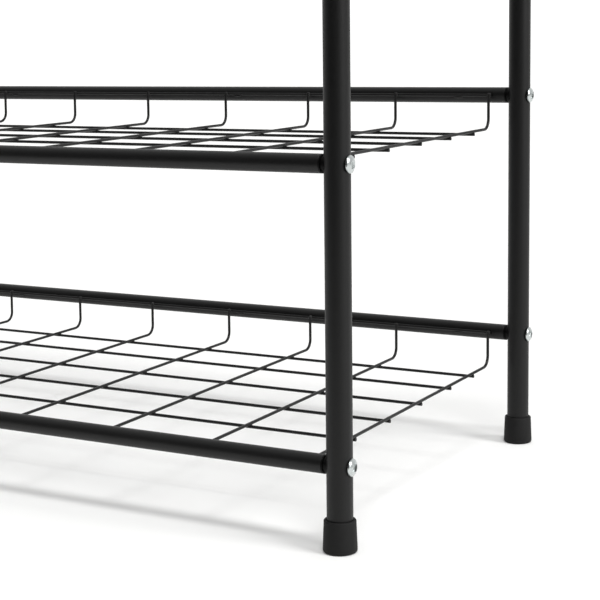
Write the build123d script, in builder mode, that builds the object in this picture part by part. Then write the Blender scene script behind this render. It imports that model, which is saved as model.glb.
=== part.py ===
from build123d import *
from math import atan2, cos, sqrt
import os

# A three-tier shoe rack: two bent-tube end frames carry three wire shelves, and
# each shelf hangs between a low front rail and a higher rear rail.
# X runs along the rails, Y from front to back, Z up; the origin is on the floor
# below the middle of the rack. All dimensions are in millimetres.

# End frames
FRAME_SPAN_X = 750.0        # axis to axis, left frame to right frame
FRAME_SPAN_Y = 300.0        # axis to axis, front leg to rear leg
FRAME_HEIGHT = 570.0        # floor to the top of the arch
POST_DIAMETER = 16.4        # 16 mm tube with its coat
POST_WALL = 1.0
ARCH_RADIUS = 45.0          # of the tube's centreline, at each upper corner

# Tiers, named from the floor up; a height is that of the front rail's axis
TIERS = ("lower", "middle", "upper")
FIRST_TIER_HEIGHT = 53.5
TIER_PITCH = 184.0
REAR_RAIL_RISE = 32.0       # rear rail's axis above the front rail's

# Rails and the plugs in their ends
RAIL_DIAMETER = 12.0
RAIL_WALL = 0.9
RAIL_END_GAP = 2.0          # from the post's surface to the end of the rail's tube
RAIL_END_ROUNDING = 0.35
PLUG_STEM_LENGTH = 20.0     # inside the rail
PLUG_COLLAR_LENGTH = 0.9
PLUG_NECK_INSET = 0.9       # neck's radius short of the rail's

# Screws through the posts into the plugs
SCREW_DIAMETER = 5.0
SCREW_LENGTH = 38.0         # under the head
SCREW_TIP_CHAMFER = 0.8
SCREW_HEAD_DIAMETER = 11.0
SCREW_HEAD_HEIGHT = 2.9
SCREW_HEAD_EDGE = 0.9       # height of the head's straight rim
SCREW_HOLE_DIAMETER = 5.4   # in the posts
RECESS_SPAN = 5.6           # across the cross-shaped driver recess
RECESS_WIDTH = 1.3
RECESS_DEPTH = 1.7
RECESS_TAPER = 12.0         # degrees
SCREW_TURN = 37.0           # degrees from one screw's recess to the next

# Wire shelves
WIRE_DIAMETER = 2.2
CROSS_WIRE_COUNT = 10
CROSS_WIRE_MARGIN = 21.5    # end frame's axis to the nearest cross wire
CROSS_WIRE_START = 0.7      # wire's axis above the front rail's axis, where they meet
RISER_HEIGHT = 25.5         # from the foot of the riser to the rear rail's axis
RISER_BEND_RADIUS = 8.0
RISER_TOP = 1.4             # riser's end above the header wire's axis
LONG_WIRE_COUNT = 4         # evenly spaced, with one more close to the risers
LONG_WIRE_START = 62.0      # front rail's axis to the first long wire
LONG_WIRE_PITCH = 51.5
REAR_LONG_WIRE = 260.0      # front rail's axis to the last long wire
LONG_WIRE_OVERHANG = 1.2    # past the last cross wire's axis
HEADER_OVERHANG = 1.4

# Feet
FOOT_HEIGHT = 20.4
FOOT_TOP_DIAMETER = 20.2
FOOT_BASE_DIAMETER = 21.8
FOOT_SOLE = 4.0             # rubber below the post's end
FOOT_TOP_ROUNDING = 0.8
FOOT_BASE_ROUNDING = 1.8

post_radius = POST_DIAMETER / 2
rail_radius = RAIL_DIAMETER / 2
wire_radius = WIRE_DIAMETER / 2
frame_x = FRAME_SPAN_X / 2
leg_y = FRAME_SPAN_Y / 2
rail_end = post_radius + RAIL_END_GAP
tier_height = {tier: FIRST_TIER_HEIGHT + TIER_PITCH * n for n, tier in enumerate(TIERS)}
rail_row = {"front": (-leg_y, 0.0), "rear": (leg_y, REAR_RAIL_RISE)}

# The header wire touches the rear rail's front, and the risers touch the header.
header_y = leg_y - rail_radius - wire_radius
riser_y = header_y - WIRE_DIAMETER
riser_foot = REAR_RAIL_RISE - RISER_HEIGHT
wire_start_y = -leg_y + sqrt(rail_radius**2 - CROSS_WIRE_START**2)
mesh_slope = (riser_foot - CROSS_WIRE_START) / (riser_y - wire_start_y)
cross_wire_reach = frame_x - CROSS_WIRE_MARGIN
cross_wire_pitch = 2 * cross_wire_reach / (CROSS_WIRE_COUNT - 1)


def save(builder, node):
    """Label one finished piece and write it under its own name."""
    builder.part.label = node
    export_step(builder.part, f"parts/{node}.step")


def joint_heights(row):
    """Heights of the three rail joints on a front or a rear leg."""
    rise = rail_row[row][1]
    return [height + rise for height in tier_height.values()]


def tier_joints(tier):
    """The tier's four post-to-rail joints, each with local +Z pointing out of the rack."""
    joints = []
    for y, rise in rail_row.values():
        for side in (-1, 1):
            place = (side * frame_x, y, tier_height[tier] + rise)
            joints.append(Location(place, (0, side * 90, 0)))
    return joints


def make_end_frame(side):
    """One tube bent into an arch, with a screw hole through each leg at every rail."""
    x = side * frame_x
    top = FRAME_HEIGHT - post_radius
    with BuildPart() as frame:
        with BuildLine(Plane.YZ.offset(x)) as centreline:
            FilletPolyline(
                (-leg_y, FOOT_SOLE), (-leg_y, top), (leg_y, top), (leg_y, FOOT_SOLE), radius=ARCH_RADIUS
            )
        with BuildSketch(Plane((x, -leg_y, FOOT_SOLE))):
            Circle(post_radius)
            Circle(post_radius - POST_WALL, mode=Mode.SUBTRACT)
        sweep(path=centreline.wires()[0])
        with BuildSketch(Plane.YZ.offset(x)):
            for row, (y, _) in rail_row.items():
                with Locations(*[(y, z) for z in joint_heights(row)]):
                    Circle(SCREW_HOLE_DIAMETER / 2)
        extrude(amount=POST_DIAMETER, both=True, mode=Mode.SUBTRACT)
    return frame


def make_foot(side, row):
    """A rubber ferrule: a flared cup that the leg stands in."""
    x = side * frame_x
    y = rail_row[row][0]
    with BuildPart() as foot:
        with Locations((x, y, 0)):
            Cone(
                FOOT_BASE_DIAMETER / 2,
                FOOT_TOP_DIAMETER / 2,
                FOOT_HEIGHT,
                align=(Align.CENTER, Align.CENTER, Align.MIN),
            )
        fillet(foot.edges().group_by(Axis.Z)[0], FOOT_BASE_ROUNDING)
        fillet(foot.edges().group_by(Axis.Z)[-1], FOOT_TOP_ROUNDING)
        with Locations((x, y, FOOT_HEIGHT)):
            Hole(post_radius, depth=FOOT_HEIGHT - FOOT_SOLE)
    return foot


def make_rail(tier, row):
    """A straight tube with softly rounded ends, stopping short of both posts."""
    y, rise = rail_row[row]
    reach = frame_x - rail_end
    with BuildPart() as rail:
        with BuildSketch(Plane.YZ.offset(-reach)):
            with Locations((y, tier_height[tier] + rise)):
                Circle(rail_radius)
        extrude(amount=2 * reach)
        fillet(rail.edges().filter_by(GeomType.CIRCLE), RAIL_END_ROUNDING)
        with BuildSketch(Plane.YZ.offset(-reach)):
            with Locations((y, tier_height[tier] + rise)):
                Circle(rail_radius - RAIL_WALL)
        extrude(amount=2 * reach, mode=Mode.SUBTRACT)
    return rail


def make_plug():
    """One rail-end plug about the joint's axis: stem, collar, and a neck shaped to the post."""
    neck_start = -rail_end + PLUG_COLLAR_LENGTH
    neck_radius = rail_radius - PLUG_NECK_INSET
    with BuildPart() as plug:
        with BuildSketch(Plane.XZ):
            with BuildLine():
                Polyline(
                    (0, -rail_end - PLUG_STEM_LENGTH),
                    (rail_radius - RAIL_WALL, -rail_end - PLUG_STEM_LENGTH),
                    (rail_radius - RAIL_WALL, -rail_end),
                    (rail_radius, -rail_end),
                    (rail_radius, neck_start),
                    (neck_radius, neck_start),
                    (neck_radius, 0),
                    (0, 0),
                    close=True,
                )
            make_face()
        revolve(axis=Axis.Z)
        Cylinder(post_radius, POST_DIAMETER, rotation=(0, 90, 0), mode=Mode.SUBTRACT)
        Cylinder(SCREW_DIAMETER / 2, 2 * (rail_end + PLUG_STEM_LENGTH + post_radius), mode=Mode.SUBTRACT)
    return plug


def make_screw():
    """One pan-head screw about the joint's axis, with a cross-shaped driver recess."""
    head_top = post_radius + SCREW_HEAD_HEIGHT
    head_rim = post_radius + SCREW_HEAD_EDGE
    tip = post_radius - SCREW_LENGTH
    shank_radius = SCREW_DIAMETER / 2
    with BuildPart() as screw:
        with BuildSketch(Plane.XZ):
            with BuildLine():
                dome = TangentArc((0, head_top), (SCREW_HEAD_DIAMETER / 2, head_rim), tangent=(1, 0))
                Polyline(
                    dome @ 1,
                    (SCREW_HEAD_DIAMETER / 2, post_radius),
                    (shank_radius, post_radius),
                    (shank_radius, tip + SCREW_TIP_CHAMFER),
                    (shank_radius - SCREW_TIP_CHAMFER, tip),
                    (0, tip),
                    (0, head_top),
                )
            make_face()
        revolve(axis=Axis.Z)
        with BuildSketch(Plane.XY.offset(head_top)):
            Rectangle(RECESS_SPAN, RECESS_WIDTH)
            Rectangle(RECESS_WIDTH, RECESS_SPAN)
        extrude(amount=-RECESS_DEPTH, taper=RECESS_TAPER, mode=Mode.SUBTRACT)
    return screw


def make_cross_wire():
    """One wire at X = 0 of a shelf: coped to the front rail, sloping, bent up at the rear."""
    inside_rail = (-leg_y + rail_radius / 2, CROSS_WIRE_START - mesh_slope * rail_radius / 2)
    with BuildPart() as wire:
        with BuildLine(Plane.YZ) as route:
            FilletPolyline(
                inside_rail,
                (riser_y, riser_foot),
                (riser_y, REAR_RAIL_RISE + RISER_TOP),
                radius=RISER_BEND_RADIUS,
            )
        with BuildSketch(Plane(route.line @ 0, z_dir=route.line % 0)):
            Circle(wire_radius)
        sweep(path=route.wires()[0])
        with Locations((0, -leg_y, 0)):
            Cylinder(rail_radius, RAIL_DIAMETER, rotation=(0, 90, 0), mode=Mode.SUBTRACT)
    return wire


def make_straight_wire(reach, y, z):
    """One wire along X, centred on the rack."""
    with BuildPart() as wire:
        with BuildSketch(Plane.YZ.offset(-reach)):
            with Locations((y, z)):
                Circle(wire_radius)
        extrude(amount=2 * reach)
    return wire


def place_copies(pattern, places):
    """A group of identical solids, one at each place."""
    with BuildPart() as group:
        with Locations(*places):
            add(pattern.part)
    return group


def make_long_wires(tier):
    """The shelf's long wires, each welded under the sloping cross wires."""
    from_front = [LONG_WIRE_START + LONG_WIRE_PITCH * n for n in range(LONG_WIRE_COUNT)]
    from_front.append(REAR_LONG_WIRE)
    reach = cross_wire_reach + LONG_WIRE_OVERHANG
    below = WIRE_DIAMETER / cos(atan2(mesh_slope, 1))
    with BuildPart() as wires:
        for distance in from_front:
            y = distance - leg_y
            z = (y - wire_start_y) * mesh_slope + CROSS_WIRE_START - below
            add(make_straight_wire(reach, y, tier_height[tier] + z).part)
    return wires


os.makedirs("parts", exist_ok=True)

sides = {"left": -1, "right": 1}
for side_name, side in sides.items():
    save(make_end_frame(side), f"end_frame_{side_name}")
    for row in rail_row:
        save(make_foot(side, row), f"foot_{row}_{side_name}")

plug = make_plug()
screw = make_screw()
cross_wire = make_cross_wire()
cross_wire_x = [-cross_wire_reach + cross_wire_pitch * n for n in range(CROSS_WIRE_COUNT)]

for tier, height in tier_height.items():
    for row in rail_row:
        save(make_rail(tier, row), f"{row}_rail_{tier}")
    joints = tier_joints(tier)
    save(place_copies(plug, joints), f"rail_plugs_{tier}")
    turned = [joint * Rotation(0, 0, SCREW_TURN * n) for n, joint in enumerate(joints)]
    save(place_copies(screw, turned), f"screws_{tier}")
    save(place_copies(cross_wire, [(x, 0, height) for x in cross_wire_x]), f"cross_wires_{tier}")
    save(make_long_wires(tier), f"long_wires_{tier}")
    header_reach = cross_wire_reach + HEADER_OVERHANG
    save(make_straight_wire(header_reach, header_y, height + REAR_RAIL_RISE), f"header_wire_{tier}")
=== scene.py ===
import math
import random

import bpy
from bpy.props import FloatProperty, FloatVectorProperty, IntProperty, PointerProperty
from bpy.types import Operator, Panel, PropertyGroup
from mathutils import Matrix, Vector


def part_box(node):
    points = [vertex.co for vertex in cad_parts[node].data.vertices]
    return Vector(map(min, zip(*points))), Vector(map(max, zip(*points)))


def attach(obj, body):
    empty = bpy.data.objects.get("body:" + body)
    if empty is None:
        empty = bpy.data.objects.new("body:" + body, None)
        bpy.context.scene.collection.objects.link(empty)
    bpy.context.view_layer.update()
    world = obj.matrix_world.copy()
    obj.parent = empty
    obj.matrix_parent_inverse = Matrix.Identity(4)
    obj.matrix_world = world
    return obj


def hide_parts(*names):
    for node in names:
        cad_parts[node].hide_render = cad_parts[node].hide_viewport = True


# Looks for a three-tier shoe rack: powder-coated tube frames, wire shelves, rubber feet and plated screws.
# Lengths are in metres in the frame's own axes: X along the rails, Y from front to back, Z up.

bl_info = {
    "name": "Tiered Shoe Rack",
    "version": (1, 0, 0),
    "blender": (4, 5, 0),
    "location": "View3D > Sidebar > Shoe Rack",
    "description": "Finishes, welds, feet and screws for a tiered shoe rack, with a plain stage",
    "category": "Object",
}

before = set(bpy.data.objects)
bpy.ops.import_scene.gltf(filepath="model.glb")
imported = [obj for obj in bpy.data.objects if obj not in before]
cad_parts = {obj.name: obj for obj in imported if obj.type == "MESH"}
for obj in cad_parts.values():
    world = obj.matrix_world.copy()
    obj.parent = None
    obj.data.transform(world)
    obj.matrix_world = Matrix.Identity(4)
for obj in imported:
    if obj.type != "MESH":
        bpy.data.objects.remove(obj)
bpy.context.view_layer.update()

MM = 0.001
TIERS = ("lower", "middle", "upper")
FEET = ("foot_front_left", "foot_front_right", "foot_rear_left", "foot_rear_right")

# Tubes and wires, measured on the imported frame.
POST_LOW, POST_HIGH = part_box("end_frame_right")
HEADER_LOW, HEADER_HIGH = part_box("header_wire_lower")
POST_RADIUS = (POST_HIGH.x - POST_LOW.x) / 2
WIRE_RADIUS = (HEADER_HIGH.y - HEADER_LOW.y) / 2
CROSS_WIRE_COUNT = 10
LONG_WIRE_COUNT = 4  # evenly spaced, with one more close to the risers
LONG_WIRE_PITCH = 51.5 * MM

# Picking and smoothing.
FACING = 0.9  # cosine past which a face counts as facing a direction
NEAR = 0.1 * MM
SMOOTH_ANGLE = 38.0

# Sizes of the patterns in the finishes.
COAT_DRIFT = 70 * MM
COAT_GRAIN = 0.9 * MM
RUBBER_BLOOM = 7 * MM
RUBBER_TOOTH = 0.5 * MM
NYLON_FLOW = 4 * MM
ZINC_CLOUD = 2.5 * MM
ZINC_DENTS = 0.7 * MM

# Feet and screws.
FOOT_SEGMENTS = 64
MOUTH_ROUNDING = 0.4  # of the lip's radius
SCREW_SEGMENTS = 48
RIM_ROUNDING = 0.35 * MM
SEAT_ROUNDING = 0.12 * MM
RECESS_ROUNDING = 0.07 * MM
RECESS_SHARP = 40.0  # degrees between faces whose edge is rounded
RECESS_TAPER = 0.7  # of the recess's width at its mouth
SCREW_TURN = 37.0  # degrees from one screw's recess to the next

# Welds.
RISER_WELD_RISE = 0.3 * MM  # above the header wire's axis
RAIL_WELD_RISE = 0.7 * MM  # above the front rail's axis
BEAD_SEGMENTS = 12
BEAD_RIPPLES = 9
BEAD_VALLEY = 0.9  # of the ridge there would be in its place
BEAD_PLACES = (0.33, 2.87, 5.88, 8.67)  # in cross-wire pitches from the right
BEAD_BACK = -0.55 * MM  # from the header wire's back
BEAD_RISE = -0.35 * MM  # from the header wire's underside

# Stage.
WHITE = (1.0, 1.0, 1.0, 1.0)
FLOOR_SIZE = 24.0
CARD_SIZE = 12.0
CARD_EDGE = -0.7
BACKDROP = 1.15
GLOW_START, GLOW_END = -0.4, 0.8  # cosines between which the room turns from dark to bright
BRIGHT_DIRECTION = (-0.4, 0.75, 0.2)
LAMP_DISTANCE = 3
OVERHEAD_LIGHT = (0.2, -0.3, 1.0)
OVERHEAD_WIDTH = 15.0
SIDE_LIGHT = (0.8, -0.06, 0.46)
SIDE_WIDTH = 26.0
SENSOR_WIDTH = 36.0
CLIP_START = 0.01
CAMERA_PLACE = (0.79993, -0.96179, 0.30434)
CAMERA_ANGLES = (29.04, 83.76, -0.59)  # yaw, tilt from straight down, roll
CAMERA_SHIFT = -0.1333


def linear(hex_colour):
    """An sRGB hex colour such as "1c1d1e" as linear red, green, blue and alpha."""
    shares = [int(hex_colour[i : i + 2], 16) / 255 for i in (0, 2, 4)]
    return (*(s / 12.92 if s <= 0.04045 else ((s + 0.055) / 1.055) ** 2.4 for s in shares), 1.0)


# ---------------------------------------------------------------- modelling helpers


def start_piece(name, add, **settings):
    """Add one primitive with nothing else selected, and open it in edit mode."""
    bpy.ops.object.select_all(action="DESELECT")
    add(**settings)
    piece = bpy.context.active_object
    piece.name = name
    piece.data.name = name
    bpy.ops.object.mode_set(mode="EDIT")
    return piece


def pick_faces(piece, wanted):
    """In edit mode, select just the faces whose middle and normal pass the test."""
    bpy.ops.mesh.select_mode(type="FACE")
    bpy.ops.mesh.select_all(action="DESELECT")
    bpy.ops.object.mode_set(mode="OBJECT")
    for face in piece.data.polygons:
        face.select = wanted(face.center, face.normal)
    bpy.ops.object.mode_set(mode="EDIT")


def pick_edges(piece, wanted):
    """In edit mode, select just the edges both of whose ends pass the test."""
    bpy.ops.mesh.select_mode(type="EDGE")
    bpy.ops.mesh.select_all(action="DESELECT")
    bpy.ops.object.mode_set(mode="OBJECT")
    points = piece.data.vertices
    for edge in piece.data.edges:
        edge.select = all(wanted(points[i].co) for i in edge.vertices)
    bpy.ops.object.mode_set(mode="EDIT")


def pick_facing(piece, x=0.0, y=0.0, z=0.0):
    """In edit mode, select just the faces that face one direction."""
    pick_faces(piece, lambda middle, normal: normal.dot(Vector((x, y, z))) > FACING)


def pick_ring(piece, radius, level):
    """In edit mode, select just the edges of one ring round the piece's own Z."""
    pick_edges(piece, lambda p: abs(p.z - level) < NEAR and abs(p.xy.length - radius) < NEAR)


def extrude(x=0.0, y=0.0, z=0.0):
    bpy.ops.mesh.extrude_region_move(TRANSFORM_OT_translate={"value": (x, y, z)})


def only(piece):
    """Leave edit mode and make this the one selected, active object."""
    if bpy.context.mode != "OBJECT":
        bpy.ops.object.mode_set(mode="OBJECT")
    bpy.ops.object.select_all(action="DESELECT")
    piece.select_set(True)
    bpy.context.view_layer.objects.active = piece


def apply_modifier(piece, kind, **settings):
    only(piece)
    modifier = piece.modifiers.new(kind.title(), kind)
    for name, value in settings.items():
        setattr(modifier, name, value)
    bpy.ops.object.modifier_apply(modifier=modifier.name)


def copy_to(piece, place, turn=None, stretch=(1.0, 1.0, 1.0)):
    """A copy with its own mesh, its origin at a place, turned and stretched about that origin."""
    only(piece)
    bpy.ops.object.duplicate()
    copy = bpy.context.active_object
    copy.location = place
    copy.rotation_mode = "ZYX"
    if turn:
        copy.rotation_euler = turn
    bpy.ops.transform.resize(value=stretch)
    return copy


def drop(pattern):
    only(pattern)
    bpy.ops.object.delete()


def join_copies(name, copies):
    """Join copies of a pattern into one mesh placed at the origin."""
    only(copies[0])
    for copy in copies:
        copy.select_set(True)
    if len(copies) > 1:
        bpy.ops.object.join()
    piece = bpy.context.active_object
    piece.name = name
    piece.data.name = name
    bpy.ops.object.transform_apply(location=True, rotation=True, scale=True)
    return piece


def hand_over(piece, material):
    """Smooth the piece, give it its material and slot, and let it ride on the frame."""
    only(piece)
    bpy.ops.object.shade_smooth_by_angle(angle=math.radians(SMOOTH_ANGLE))
    piece.data.materials.clear()
    piece.data.materials.append(material)
    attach(piece, "root")


# ---------------------------------------------------------------- finishes


def node(tree, kind, settings=None, **links):
    """Add one shader node: settings fill its fields or sockets, and links join sockets to it.

    A link's name is the socket's name with _ for a space, or i and the socket's number.
    Its value is an output socket.
    """
    made = tree.nodes.new(kind)
    for name, value in (settings or {}).items():
        if isinstance(name, str) and hasattr(made, name):
            setattr(made, name, value)
        else:
            made.inputs[name].default_value = value
    for name, output in links.items():
        key = int(name[1:]) if name[0] == "i" and name[1:].isdigit() else name.replace("_", " ")
        tree.links.new(output, made.inputs[key])
    return made


def new_finish(name):
    """An empty material, with its tree, its Principled shader and its coordinates."""
    material = bpy.data.materials.new(name)
    material.use_nodes = True
    tree = material.node_tree
    shader = tree.nodes["Principled BSDF"]
    place = node(tree, "ShaderNodeTexCoord").outputs["Object"]
    return material, tree, shader, place


def powder_coat(name, colours, gloss, peel):
    """Polyester powder coat: dust sprayed on and baked until it flows into one skin.

    To the eye it is a soft black with a broad, weak shine, the faint orange peel of the flowed powder, and
    slow drifts in depth where the coat is thicker or thinner.
    """
    material, tree, shader, place = new_finish(name)
    drift = node(tree, "ShaderNodeTexNoise", {"Scale": 1 / COAT_DRIFT, "Detail": 3.0}, Vector=place)
    thin, thick = (linear(colour) for colour in colours)
    tone = node(tree, "ShaderNodeMix", {"data_type": "RGBA", 6: thin, 7: thick}, i0=drift.outputs["Fac"])
    # Peel on a baked coat is 1 to 2 mm from crest to crest, and is drawn a little coarser so that it shows.
    skin = node(
        tree, "ShaderNodeTexNoise", {"Scale": 1 / peel, "Detail": 2.0, "Roughness": 0.45}, Vector=place
    )
    grain = node(tree, "ShaderNodeTexNoise", {"Scale": 1 / COAT_GRAIN, "Detail": 1.0}, Vector=place)
    shine = node(
        tree,
        "ShaderNodeMapRange",
        {"From Min": 0.25, "From Max": 0.75, "To Min": gloss[0], "To Max": gloss[1]},
        Value=grain.outputs["Fac"],
    )
    fine = node(
        tree, "ShaderNodeBump", {"Strength": 0.35, "Distance": 0.02 * MM}, Height=grain.outputs["Fac"]
    )
    bump = node(
        tree,
        "ShaderNodeBump",
        {"Strength": 0.6, "Distance": 0.07 * MM},
        Height=skin.outputs["Fac"],
        Normal=fine.outputs["Normal"],
    )
    tree.links.new(tone.outputs[2], shader.inputs["Base Color"])
    tree.links.new(shine.outputs["Result"], shader.inputs["Roughness"])
    tree.links.new(bump.outputs["Normal"], shader.inputs["Normal"])
    shader.inputs["IOR"].default_value = 1.5
    shader.inputs["Specular IOR Level"].default_value = 0.33
    return material


def moulded_rubber(name, colours):
    """Thermoplastic rubber, injection moulded in a spark-eroded tool.

    To the eye it is a dull black with no clear highlight, a fine even tooth, and a faint grey bloom in
    patches.
    """
    material, tree, shader, place = new_finish(name)
    bloom = node(
        tree,
        "ShaderNodeTexNoise",
        {"Scale": 1 / RUBBER_BLOOM, "Detail": 4.0, "Roughness": 0.6},
        Vector=place,
    )
    clean, bloomed = (linear(colour) for colour in colours)
    patches = node(
        tree, "ShaderNodeMapRange", {"From Min": 0.4, "From Max": 0.7}, Value=bloom.outputs["Fac"]
    )
    tone = node(
        tree, "ShaderNodeMix", {"data_type": "RGBA", 6: clean, 7: bloomed}, i0=patches.outputs["Result"]
    )
    # The tool's tooth is about 0.1 mm, and is drawn coarser so that it shows.
    tooth = node(tree, "ShaderNodeTexNoise", {"Scale": 1 / RUBBER_TOOTH, "Detail": 2.0}, Vector=place)
    dull = node(
        tree, "ShaderNodeMapRange", {"To Min": 0.62, "To Max": 0.82}, Value=bloom.outputs["Fac"]
    )
    bump = node(
        tree, "ShaderNodeBump", {"Strength": 0.5, "Distance": 0.03 * MM}, Height=tooth.outputs["Fac"]
    )
    tree.links.new(tone.outputs[2], shader.inputs["Base Color"])
    tree.links.new(dull.outputs["Result"], shader.inputs["Roughness"])
    tree.links.new(bump.outputs["Normal"], shader.inputs["Normal"])
    shader.inputs["IOR"].default_value = 1.5
    shader.inputs["Specular IOR Level"].default_value = 0.28
    return material


def moulded_nylon(name, colours):
    """Black nylon 6, injection moulded.

    To the eye it is a deeper, slightly waxy black beside the coated steel, with faint flow marks.
    """
    material, tree, shader, place = new_finish(name)
    flow = node(
        tree,
        "ShaderNodeTexNoise",
        {"Scale": 1 / NYLON_FLOW, "Detail": 3.0, "Distortion": 1.5},
        Vector=place,
    )
    dark, light = (linear(colour) for colour in colours)
    tone = node(tree, "ShaderNodeMix", {"data_type": "RGBA", 6: dark, 7: light}, i0=flow.outputs["Fac"])
    waxy = node(tree, "ShaderNodeMapRange", {"To Min": 0.42, "To Max": 0.58}, Value=flow.outputs["Fac"])
    bump = node(tree, "ShaderNodeBump", {"Strength": 0.3, "Distance": 0.02 * MM}, Height=flow.outputs["Fac"])
    tree.links.new(tone.outputs[2], shader.inputs["Base Color"])
    tree.links.new(waxy.outputs["Result"], shader.inputs["Roughness"])
    tree.links.new(bump.outputs["Normal"], shader.inputs["Normal"])
    shader.inputs["IOR"].default_value = 1.53
    shader.inputs["Specular IOR Level"].default_value = 0.12
    return material


def bright_zinc(name, colours):
    """Bright zinc electroplate over a cold-headed steel screw.

    To the eye it is a pale, faintly blue silver with soft reflections, a cloudy plating bloom, and the small
    dents of the heading die.
    """
    material, tree, shader, place = new_finish(name)
    cloud = node(tree, "ShaderNodeTexNoise", {"Scale": 1 / ZINC_CLOUD, "Detail": 3.0}, Vector=place)
    cool, warm = (linear(colour) for colour in colours)
    tone = node(tree, "ShaderNodeMix", {"data_type": "RGBA", 6: cool, 7: warm}, i0=cloud.outputs["Fac"])
    haze = node(tree, "ShaderNodeMapRange", {"To Min": 0.24, "To Max": 0.38}, Value=cloud.outputs["Fac"])
    # Die marks are about 0.1 mm, and are drawn coarser so that they break up the reflection.
    dents = node(tree, "ShaderNodeTexNoise", {"Scale": 1 / ZINC_DENTS, "Detail": 1.0}, Vector=place)
    bump = node(
        tree, "ShaderNodeBump", {"Strength": 0.35, "Distance": 0.03 * MM}, Height=dents.outputs["Fac"]
    )
    tree.links.new(tone.outputs[2], shader.inputs["Base Color"])
    tree.links.new(haze.outputs["Result"], shader.inputs["Roughness"])
    tree.links.new(bump.outputs["Normal"], shader.inputs["Normal"])
    shader.inputs["Metallic"].default_value = 1.0
    return material


FINISHES = {}


def finishes():
    """Every finish by its material slot in the record, made the first time it is asked for."""
    if not FINISHES:
        FINISHES.update(
            post_powder_coat=powder_coat(
                "satin_black_powder_coat_on_posts", ("0d0d0d", "090909"), (0.42, 0.54), 2.4 * MM
            ),
            rail_powder_coat=powder_coat(
                "satin_black_powder_coat_on_rails", ("0d0d0d", "0a0a0a"), (0.4, 0.52), 2.0 * MM
            ),
            wire_powder_coat=powder_coat(
                "satin_black_powder_coat_on_wire", ("0f0f0f", "0b0b0b"), (0.38, 0.5), 1.4 * MM
            ),
            foot_rubber=moulded_rubber("black_moulded_rubber", ("0d0d0d", "141414")),
            plug_nylon=moulded_nylon("black_moulded_nylon", ("040404", "070707")),
            zinc_plated_steel=bright_zinc("bright_zinc_plated_steel", ("c3cacb", "d3d6d4")),
        )
    return FINISHES


# ---------------------------------------------------------------- places along the shelves


def wire_lines(tier):
    """The tier's cross-wire X positions, its long wires' Y and Z, and its header wire's box."""
    cross_low, cross_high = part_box(f"cross_wires_{tier}")
    first = cross_low.x + WIRE_RADIUS
    pitch = (cross_high.x - cross_low.x - 2 * WIRE_RADIUS) / (CROSS_WIRE_COUNT - 1)
    cross_x = [first + pitch * i for i in range(CROSS_WIRE_COUNT)]
    long_low, long_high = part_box(f"long_wires_{tier}")
    inward = Vector((WIRE_RADIUS, WIRE_RADIUS))
    start, end = long_low.yz + inward, long_high.yz - inward
    rows = [start.x + LONG_WIRE_PITCH * i for i in range(LONG_WIRE_COUNT)] + [end.x]
    slope = (end.y - start.y) / (end.x - start.x)
    return cross_x, [(y, start.y + (y - start.x) * slope) for y in rows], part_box(f"header_wire_{tier}")


# ---------------------------------------------------------------- what a user may change


class RackSizes(PropertyGroup):
    foot_rounding: FloatProperty(
        name="Foot rounding",
        description="Radius round the bottom of a foot",
        default=1.8 * MM,
        unit="LENGTH",
    )
    foot_lip: FloatProperty(
        name="Foot lip", description="Radius round the top edge of a foot", default=0.9 * MM, unit="LENGTH"
    )
    foot_mouth: FloatProperty(
        name="Foot mouth",
        description="Gap between a post and the top of its foot",
        default=0.35 * MM,
        unit="LENGTH",
    )
    foot_sole: FloatProperty(
        name="Foot sole", description="Rubber under a post", default=4.0 * MM, unit="LENGTH"
    )
    foot_draft: FloatProperty(
        name="Foot draft",
        description="How much narrower a foot is at its top",
        default=0.8 * MM,
        unit="LENGTH",
    )
    head_rim: FloatProperty(
        name="Screw rim",
        description="Height of a screw head's straight edge",
        default=0.9 * MM,
        unit="LENGTH",
    )
    recess_span: FloatProperty(
        name="Recess span",
        description="Width of the square recess in a screw head",
        default=5.6 * MM,
        unit="LENGTH",
    )
    recess_slot: FloatProperty(
        name="Recess slot",
        description="Width of the recess's punch before its sides are drawn out",
        default=1.15 * MM,
        unit="LENGTH",
    )
    recess_depth: FloatProperty(
        name="Recess depth",
        description="Depth of the recess below the head's top",
        default=1.7 * MM,
        unit="LENGTH",
    )
    shank_radius: FloatProperty(
        name="Shank radius", description="Radius of a screw's shank", default=2.5 * MM, unit="LENGTH"
    )
    shank_length: FloatProperty(
        name="Shank length", description="Length of a screw under its head", default=38.0 * MM, unit="LENGTH"
    )
    nugget: FloatVectorProperty(
        name="Crossing weld",
        description="Size of the lump where two wires are welded",
        default=(3.0 * MM, 2.6 * MM, 1.6 * MM),
        subtype="XYZ_LENGTH",
        unit="LENGTH",
    )
    riser_weld: FloatVectorProperty(
        name="Riser weld",
        description="Size of the lump where a riser meets the header wire",
        default=(3.2 * MM, 3.2 * MM, 3.0 * MM),
        subtype="XYZ_LENGTH",
        unit="LENGTH",
    )
    rail_weld: FloatVectorProperty(
        name="Rail weld",
        description="Size of the lump where a cross wire meets the front rail",
        default=(3.4 * MM, 2.0 * MM, 3.0 * MM),
        subtype="XYZ_LENGTH",
        unit="LENGTH",
    )
    bead_length: FloatProperty(
        name="Bead length",
        description="Length of a bead from header wire to rail",
        default=7.0 * MM,
        unit="LENGTH",
    )
    bead_radius: FloatProperty(
        name="Bead radius", description="Radius of that bead at its middle", default=1.0 * MM, unit="LENGTH"
    )
    weld_spread: FloatProperty(
        name="Weld spread",
        description="How much one weld's size differs from the next",
        default=0.12,
        min=0.0,
        max=0.5,
        subtype="FACTOR",
    )
    seed: IntProperty(name="Seed", description="Seed of the differences between welds", default=7)


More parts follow.
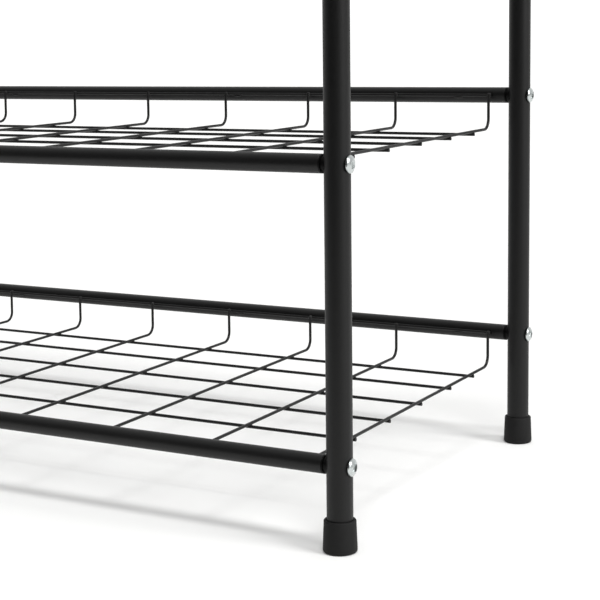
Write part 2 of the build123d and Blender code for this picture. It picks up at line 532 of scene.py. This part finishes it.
class RackStage(PropertyGroup):
    floor_colour: FloatVectorProperty(
        name="Floor",
        description="Colour of the floor",
        default=linear("f4f4f3")[:3],
        subtype="COLOR",
        size=3,
    )
    overhead_strength: FloatProperty(
        name="Overhead light", description="Strength of the soft light above the front", default=1.15
    )
    side_strength: FloatProperty(
        name="Side light", description="Strength of the lower soft light from the right", default=2.3
    )
    fill: FloatProperty(
        name="Fill", description="Even brightness of the studio on matt surfaces", default=0.52
    )
    dark_side: FloatProperty(
        name="Dark side", description="Brightness reflected from in front of the rack", default=0.02
    )
    bright_side: FloatProperty(
        name="Bright side", description="Brightness reflected from behind the rack", default=0.95
    )
    lens: FloatProperty(
        name="Lens",
        description="Focal length of the camera on a 36 mm sensor",
        default=92.54,
        subtype="DISTANCE_CAMERA",
    )


# ---------------------------------------------------------------- operators


class RACK_OT_coat_frame(Operator):
    """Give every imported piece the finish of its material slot"""

    bl_idname = "shoe_rack.coat_frame"
    bl_label = "Coat tubes, wires and plugs"

    def execute(self, context):
        for name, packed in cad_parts.items():
            slot = packed.material_slots[0]
            if slot.material.name not in finishes():
                raise RuntimeError(f"{name} has a material slot with no finish")
            slot.material = finishes()[slot.material.name]
        return {"FINISHED"}


class RACK_OT_feet(Operator):
    """Mould the four rubber feet: a drafted cup with a rounded lip, a loose mouth and a recessed sole"""

    bl_idname = "shoe_rack.feet"
    bl_label = "Mould the feet"

    def execute(self, context):
        sizes = context.scene.shoe_rack_sizes
        low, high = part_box(FEET[0])
        height = high.z - low.z
        base = (high.x - low.x) / 2
        top = base - sizes.foot_draft
        mouth = POST_RADIUS + sizes.foot_mouth
        mouth_depth = 2.0 * MM
        pad_inset, pad_depth, ring_width = 3.0 * MM, 0.6 * MM, 1.6 * MM
        half = height / 2
        foot = start_piece(
            "foot_pattern",
            bpy.ops.mesh.primitive_cylinder_add,
            vertices=FOOT_SEGMENTS,
            radius=base,
            depth=height,
            location=((low.x + high.x) / 2, (low.y + high.y) / 2, low.z + half),
        )
        # Draft the sides, then open the mouth and sink the cup down to the sole.
        centre = foot.location
        pick_facing(foot, z=1)
        bpy.ops.transform.resize(value=(top / base, top / base, 1.0), center_override=centre)
        bpy.ops.mesh.inset(thickness=top - mouth)
        extrude(z=-mouth_depth)
        narrowed = POST_RADIUS / mouth
        bpy.ops.transform.resize(value=(narrowed, narrowed, 1.0), center_override=centre)
        extrude(z=-(height - sizes.foot_sole - mouth_depth))
        # A ring-shaped recess in the sole.
        pick_facing(foot, z=-1)
        bpy.ops.mesh.inset(thickness=pad_inset)
        extrude(z=pad_depth)
        bpy.ops.mesh.inset(thickness=ring_width)
        extrude(z=-pad_depth)
        # Round the bottom, the lip and the mouth.
        for level, radius, rounding, segments in (
            (-half, base, sizes.foot_rounding, 5),
            (half, top, sizes.foot_lip, 5),
            (half, mouth, MOUTH_ROUNDING * sizes.foot_lip, 3),
        ):
            pick_ring(foot, radius, level)
            bpy.ops.mesh.bevel(offset=rounding, segments=segments)
        only(foot)
        for name in FEET:
            low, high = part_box(name)
            place = ((low.x + high.x) / 2, (low.y + high.y) / 2, low.z + half)
            copy = copy_to(foot, place)
            bpy.ops.object.transform_apply(location=True, rotation=True, scale=True)
            copy.name = copy.data.name = f"{name}_moulded"
            hand_over(copy, finishes()["foot_rubber"])
            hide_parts(name)
        drop(foot)
        return {"FINISHED"}


class RACK_OT_screws(Operator):
    """Head the twelve plated screws: a domed head with a square recess on a plain shank"""

    bl_idname = "shoe_rack.screws"
    bl_label = "Head the screws"

    def execute(self, context):
        sizes = context.scene.shoe_rack_sizes
        low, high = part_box("screws_lower")
        radius = (high.y - low.y - (POST_HIGH.y - POST_LOW.y - 2 * POST_RADIUS)) / 2
        height = high.x - POST_HIGH.x
        rise = height - sizes.head_rim
        crown = (radius**2 + rise**2) / (2 * rise)
        rings = 7
        chamfer = 0.8 * MM
        screw = start_piece(
            "screw_pattern",
            bpy.ops.mesh.primitive_cylinder_add,
            vertices=SCREW_SEGMENTS,
            radius=radius,
            depth=sizes.head_rim,
            location=(0, 0, sizes.head_rim / 2),
        )
        # Crown the head in rings that follow one arc.
        pick_facing(screw, z=1)
        reached = 0.0
        for ring in range(1, rings):
            outer = radius * (1 - (ring - 1) / rings)
            inner = radius * (1 - ring / rings)
            level = rise - crown + math.sqrt(crown**2 - inner**2)
            bpy.ops.mesh.inset(thickness=outer - inner)
            bpy.ops.transform.translate(value=(0, 0, level - reached))
            reached = level
        # Draw the shank down, with a chamfered tip.
        pick_facing(screw, z=-1)
        bpy.ops.mesh.inset(thickness=radius - sizes.shank_radius)
        extrude(z=-(sizes.shank_length - chamfer))
        extrude(z=-chamfer)
        tip = (sizes.shank_radius - chamfer) / sizes.shank_radius
        bpy.ops.transform.resize(value=(tip, tip, 1.0), center_override=(0, 0, 0))
        # Round the rim above, and where it sits on the post.
        half_rim = sizes.head_rim / 2
        pick_ring(screw, radius, half_rim)
        bpy.ops.mesh.bevel(offset=RIM_ROUNDING, segments=3)
        pick_ring(screw, radius, -half_rim)
        bpy.ops.mesh.bevel(offset=SEAT_ROUNDING, segments=2)
        only(screw)
        punch = self.recess_punch(sizes, height)
        apply_modifier(screw, "BOOLEAN", operation="DIFFERENCE", solver="EXACT", object=punch)
        drop(punch)
        apply_modifier(
            screw,
            "BEVEL",
            width=RECESS_ROUNDING,
            segments=2,
            limit_method="ANGLE",
            angle_limit=math.radians(RECESS_SHARP),
        )
        only(screw)
        bpy.ops.object.transform_apply(location=True, rotation=True, scale=True)
        for step, tier in enumerate(TIERS):
            low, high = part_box(f"screws_{tier}")
            places = [(low.y + radius, low.z + radius), (high.y - radius, high.z - radius)]
            copies = []
            for y, z in places:
                for side in (-1, 1):
                    turn = math.radians(SCREW_TURN * (len(copies) + 1 + step))
                    copies.append(
                        copy_to(screw, (side * POST_HIGH.x, y, z), turn=(0.0, side * math.pi / 2, turn))
                    )
            piece = join_copies(f"screws_{tier}_plated", copies)
            hand_over(piece, finishes()["zinc_plated_steel"])
            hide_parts(f"screws_{tier}")
        drop(screw)
        return {"FINISHED"}

    def recess_punch(self, sizes, height):
        """The punch that leaves the recess, narrowing as it goes in.

        Its Y sides are drawn out with the arms already drawn along X, so it is square and not a cross.
        """
        above = 1.0 * MM
        depth = sizes.recess_depth + above
        punch = start_piece(
            "recess_punch",
            bpy.ops.mesh.primitive_cube_add,
            size=1.0,
            location=(0, 0, height + above - depth / 2),
            scale=(sizes.recess_slot, sizes.recess_slot, depth),
        )
        bpy.ops.object.mode_set(mode="OBJECT")
        bpy.ops.object.transform_apply(location=False, rotation=False, scale=True)
        bpy.ops.object.mode_set(mode="EDIT")
        reach = (sizes.recess_span - sizes.recess_slot) / 2
        for x, y in ((1, 0), (-1, 0), (0, 1), (0, -1)):
            pick_facing(punch, x, y)
            extrude(x * reach, y * reach)
        pick_facing(punch, z=-1)
        bpy.ops.transform.resize(value=(RECESS_TAPER, RECESS_TAPER, 1.0), center_override=punch.location)
        only(punch)
        return punch


class RACK_OT_wire_welds(Operator):
    """Add the welds of the wire shelves: at every crossing, on every riser and along the front rails"""

    bl_idname = "shoe_rack.wire_welds"
    bl_label = "Weld the wires"

    def execute(self, context):
        sizes = context.scene.shoe_rack_sizes
        draw = random.Random(sizes.seed)
        coat = finishes()["wire_powder_coat"]
        for tier in TIERS:
            cross_x, rows, (header_low, header_high) = wire_lines(tier)
            rail_low, rail_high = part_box(f"front_rail_{tier}")
            riser_z = (header_low.z + header_high.z) / 2 + RISER_WELD_RISE
            rail_z = (rail_low.z + rail_high.z) / 2 + RAIL_WELD_RISE
            crossings = [(x, y, z + WIRE_RADIUS) for x in cross_x for y, z in rows]
            kinds = {
                "crossing_welds": (sizes.nugget, crossings),
                "riser_welds": (sizes.riser_weld, [(x, header_low.y, riser_z) for x in cross_x]),
                "rail_welds": (sizes.rail_weld, [(x, rail_high.y, rail_z) for x in cross_x]),
            }
            for kind, (size, places) in kinds.items():
                lump = self.lump(size)
                copies = []
                for place in places:
                    stretch = [1 + sizes.weld_spread * draw.uniform(-1, 1) for _ in range(3)]
                    copies.append(copy_to(lump, place, stretch=stretch))
                piece = join_copies(f"{kind}_{tier}", copies)
                hand_over(piece, coat)
                drop(lump)
        return {"FINISHED"}

    def lump(self, size):
        """One lump of squeezed-out metal: a cube swollen towards a ball, a little uneven."""
        lump = start_piece("weld_lump", bpy.ops.mesh.primitive_cube_add, size=1.0)
        bpy.ops.mesh.subdivide(number_cuts=2, smoothness=0.85)
        bpy.ops.transform.vertex_random(offset=0.06, uniform=0.0, seed=3)
        only(lump)
        widest = max(abs(point.co.x) for point in lump.data.vertices) * 2
        lump.scale = Vector(size) / widest
        bpy.ops.object.transform_apply(location=True, rotation=True, scale=True)
        return lump


class RACK_OT_header_beads(Operator):
    """Lay the short beads that fix each header wire under the front of its rear rail"""

    bl_idname = "shoe_rack.header_beads"
    bl_label = "Lay the header beads"

    def execute(self, context):
        sizes = context.scene.shoe_rack_sizes
        step = sizes.bead_length / BEAD_RIPPLES
        bead = start_piece(
            "bead_pattern",
            bpy.ops.mesh.primitive_cylinder_add,
            vertices=BEAD_SEGMENTS,
            radius=sizes.bead_radius,
            depth=step,
            location=(0, 0, 0),
            rotation=(0, math.pi / 2, 0),
        )
        only(bead)
        bpy.ops.object.transform_apply(location=True, rotation=True, scale=True)
        bpy.ops.object.mode_set(mode="EDIT")
        # Each ripple is a ridge and a valley, and both shrink towards the ends of the bead.
        for side in (-1, 1):
            pick_facing(bead, x=side)
            width = 1.0
            for ripple in range(BEAD_RIPPLES - 1):
                share = (ripple + 1) / BEAD_RIPPLES
                wanted = math.sqrt(1 - share**2) * (1.0 if ripple % 2 else BEAD_VALLEY)
                extrude(x=side * step / 2)
                centre = (side * (step + step * ripple) / 2, 0, 0)
                bpy.ops.transform.resize(value=(1.0, wanted / width, wanted / width), center_override=centre)
                width = wanted
        only(bead)
        for tier in TIERS:
            cross_x, _, (header_low, header_high) = wire_lines(tier)
            pitch = cross_x[1] - cross_x[0]
            y, z = header_high.y + BEAD_BACK, header_low.z + BEAD_RISE
            copies = [copy_to(bead, (cross_x[-1] - pitch * place, y, z)) for place in BEAD_PLACES]
            piece = join_copies(f"header_beads_{tier}", copies)
            hand_over(piece, finishes()["wire_powder_coat"])
        drop(bead)
        return {"FINISHED"}


class RACK_OT_stage(Operator):
    """Set the plain floor, the soft lights and the camera"""

    bl_idname = "shoe_rack.stage"
    bl_label = "Set the stage"

    def execute(self, context):
        scene = context.scene
        stage = scene.shoe_rack_stage
        scene.view_settings.view_transform = "Standard"
        bpy.ops.object.select_all(action="DESELECT")
        bpy.ops.mesh.primitive_plane_add(size=FLOOR_SIZE, location=(0, 0, 0))
        floor = context.active_object
        floor.name = "floor"
        paint = bpy.data.materials.new("matt_white_floor_paint")
        paint.use_nodes = True
        shader = paint.node_tree.nodes["Principled BSDF"]
        shader.inputs["Base Color"].default_value = (*stage.floor_colour, 1.0)
        shader.inputs["Roughness"].default_value = 0.9
        shader.inputs["Specular IOR Level"].default_value = 0.1
        floor.data.materials.append(paint)
        self.card(context)
        for name, towards, strength, width in (
            ("overhead_softbox", OVERHEAD_LIGHT, stage.overhead_strength, OVERHEAD_WIDTH),
            ("side_softbox", SIDE_LIGHT, stage.side_strength, SIDE_WIDTH),
        ):
            bpy.ops.object.light_add(type="SUN", location=Vector(towards) * LAMP_DISTANCE)
            lamp = context.active_object
            lamp.name = name
            lamp.rotation_euler = Vector(towards).to_track_quat("Z", "Y").to_euler()
            lamp.data.energy = strength
            lamp.data.angle = math.radians(width)
        self.studio(scene, stage)
        bpy.ops.object.camera_add(location=CAMERA_PLACE)
        camera = context.active_object
        camera.name = "camera"
        yaw, tilt, roll = (math.radians(angle) for angle in CAMERA_ANGLES)
        turned = Matrix.Rotation(yaw, 3, "Z") @ Matrix.Rotation(tilt, 3, "X") @ Matrix.Rotation(roll, 3, "Z")
        camera.rotation_euler = turned.to_euler()
        camera.data.sensor_width = SENSOR_WIDTH
        camera.data.lens = stage.lens
        camera.data.shift_y = CAMERA_SHIFT
        camera.data.clip_start = CLIP_START
        scene.camera = camera
        return {"FINISHED"}

    def card(self, context):
        """A black card over the floor in front, which only the rack's reflections see."""
        bpy.ops.mesh.primitive_plane_add(size=CARD_SIZE, location=(0, CARD_EDGE - CARD_SIZE / 2, MM))
        card = context.active_object
        card.name = "black_card"
        black = bpy.data.materials.new("matt_black_card")
        black.use_nodes = True
        shader = black.node_tree.nodes["Principled BSDF"]
        shader.inputs["Base Color"].default_value = linear("0a0a0a")
        shader.inputs["Roughness"].default_value = 1.0
        shader.inputs["Specular IOR Level"].default_value = 0.0
        card.data.materials.append(black)
        card.visible_camera = False
        card.visible_diffuse = False
        card.visible_shadow = False

    def studio(self, scene, stage):
        """The room: white to look at, and an even fill on matt surfaces.

        In reflections it is darker in front of the rack than behind.
        """
        world = bpy.data.worlds.new("studio")
        scene.world = world
        world.use_nodes = True
        tree = world.node_tree
        tree.nodes.clear()
        direction = node(tree, "ShaderNodeTexCoord").outputs["Generated"]
        facing = node(
            tree, "ShaderNodeVectorMath", {"operation": "DOT_PRODUCT", 1: BRIGHT_DIRECTION}, i0=direction
        )
        glow = node(
            tree,
            "ShaderNodeMapRange",
            {
                "interpolation_type": "SMOOTHSTEP",
                "From Min": GLOW_START,
                "From Max": GLOW_END,
                "To Min": stage.dark_side,
                "To Max": stage.bright_side,
            },
            Value=facing.outputs["Value"],
        )
        room = node(tree, "ShaderNodeBackground", {"Color": WHITE}, Strength=glow.outputs["Result"])
        fill = node(tree, "ShaderNodeBackground", {"Color": WHITE, "Strength": stage.fill})
        seen = node(tree, "ShaderNodeBackground", {"Color": WHITE, "Strength": BACKDROP})
        ray = node(tree, "ShaderNodeLightPath").outputs
        lit = node(
            tree,
            "ShaderNodeMixShader",
            i0=ray["Is Diffuse Ray"],
            i1=room.outputs["Background"],
            i2=fill.outputs["Background"],
        )
        mixed = node(
            tree,
            "ShaderNodeMixShader",
            i0=ray["Is Camera Ray"],
            i1=lit.outputs["Shader"],
            i2=seen.outputs["Background"],
        )
        node(tree, "ShaderNodeOutputWorld", Surface=mixed.outputs["Shader"])


class RACK_PT_panel(Panel):
    """The rack's operators, sizes and stage settings in the sidebar"""

    bl_label = "Shoe Rack"
    bl_idname = "RACK_PT_panel"
    bl_space_type = "VIEW_3D"
    bl_region_type = "UI"
    bl_category = "Shoe Rack"

    def draw(self, context):
        layout = self.layout
        for operator in OPERATORS:
            layout.operator(operator.bl_idname)
        for settings in (context.scene.shoe_rack_sizes, context.scene.shoe_rack_stage):
            for name in settings.__annotations__:
                layout.prop(settings, name)


OPERATORS = (
    RACK_OT_coat_frame,
    RACK_OT_feet,
    RACK_OT_screws,
    RACK_OT_wire_welds,
    RACK_OT_header_beads,
    RACK_OT_stage,
)
CLASSES = (RackSizes, RackStage, *OPERATORS, RACK_PT_panel)


def register():
    for cls in CLASSES:
        bpy.utils.register_class(cls)
    bpy.types.Scene.shoe_rack_sizes = PointerProperty(type=RackSizes)
    bpy.types.Scene.shoe_rack_stage = PointerProperty(type=RackStage)


def unregister():
    del bpy.types.Scene.shoe_rack_stage
    del bpy.types.Scene.shoe_rack_sizes
    for cls in reversed(CLASSES):
        bpy.utils.unregister_class(cls)


def main():
    register()
    for operator in OPERATORS:
        group, name = operator.bl_idname.split(".")
        getattr(getattr(bpy.ops, group), name)()


if __name__ == "__main__":
    main()
